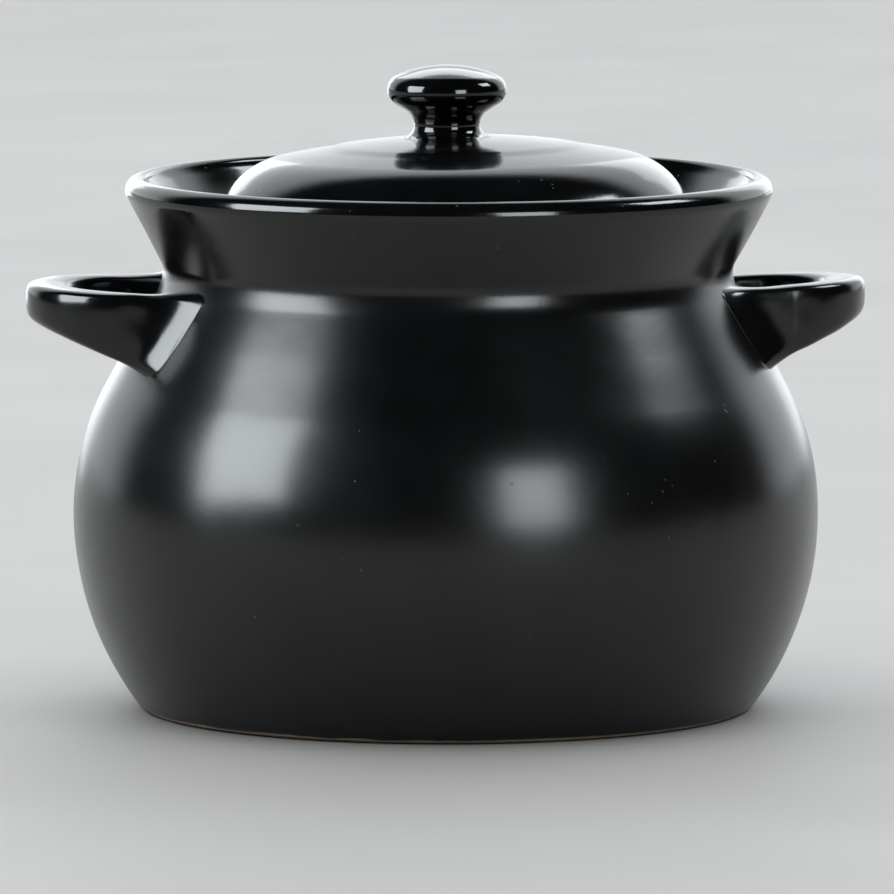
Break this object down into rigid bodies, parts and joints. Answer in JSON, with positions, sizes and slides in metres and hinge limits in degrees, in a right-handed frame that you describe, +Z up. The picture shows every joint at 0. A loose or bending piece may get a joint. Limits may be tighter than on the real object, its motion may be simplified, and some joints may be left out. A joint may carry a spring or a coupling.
{
  "type": "lidded ceramic stew pot",
  "caption": "Round-bellied black glazed ceramic stew pot with a flared collar, two loop handles and a domed lid with a mushroom knob that sits down inside the collar.",
  "frame": {"origin": "centre of the foot, on the surface that the pot stands on", "axes": "+Z up, the two handles point along -X and +X, front towards -Y"},
  "size_m": [0.313, 0.2764, 0.2387],
  "materials": {
    "satin_glaze": "satin",
    "gloss_glaze": "gloss"
  },
  "bodies": {
    "pot": {"pot_body": "satin_glaze", "handle_left": "gloss_glaze", "handle_right": "gloss_glaze"},
    "lid_assembly": {"lid": "satin_glaze", "lid_knob": "gloss_glaze"}
  },
  "joints": [
    {"name": "lid_lift", "type": "slide", "parent": "pot", "child": "lid_assembly", "axis": [0, 0, 1], "range_m": [0, 0.12]}
  ]
}
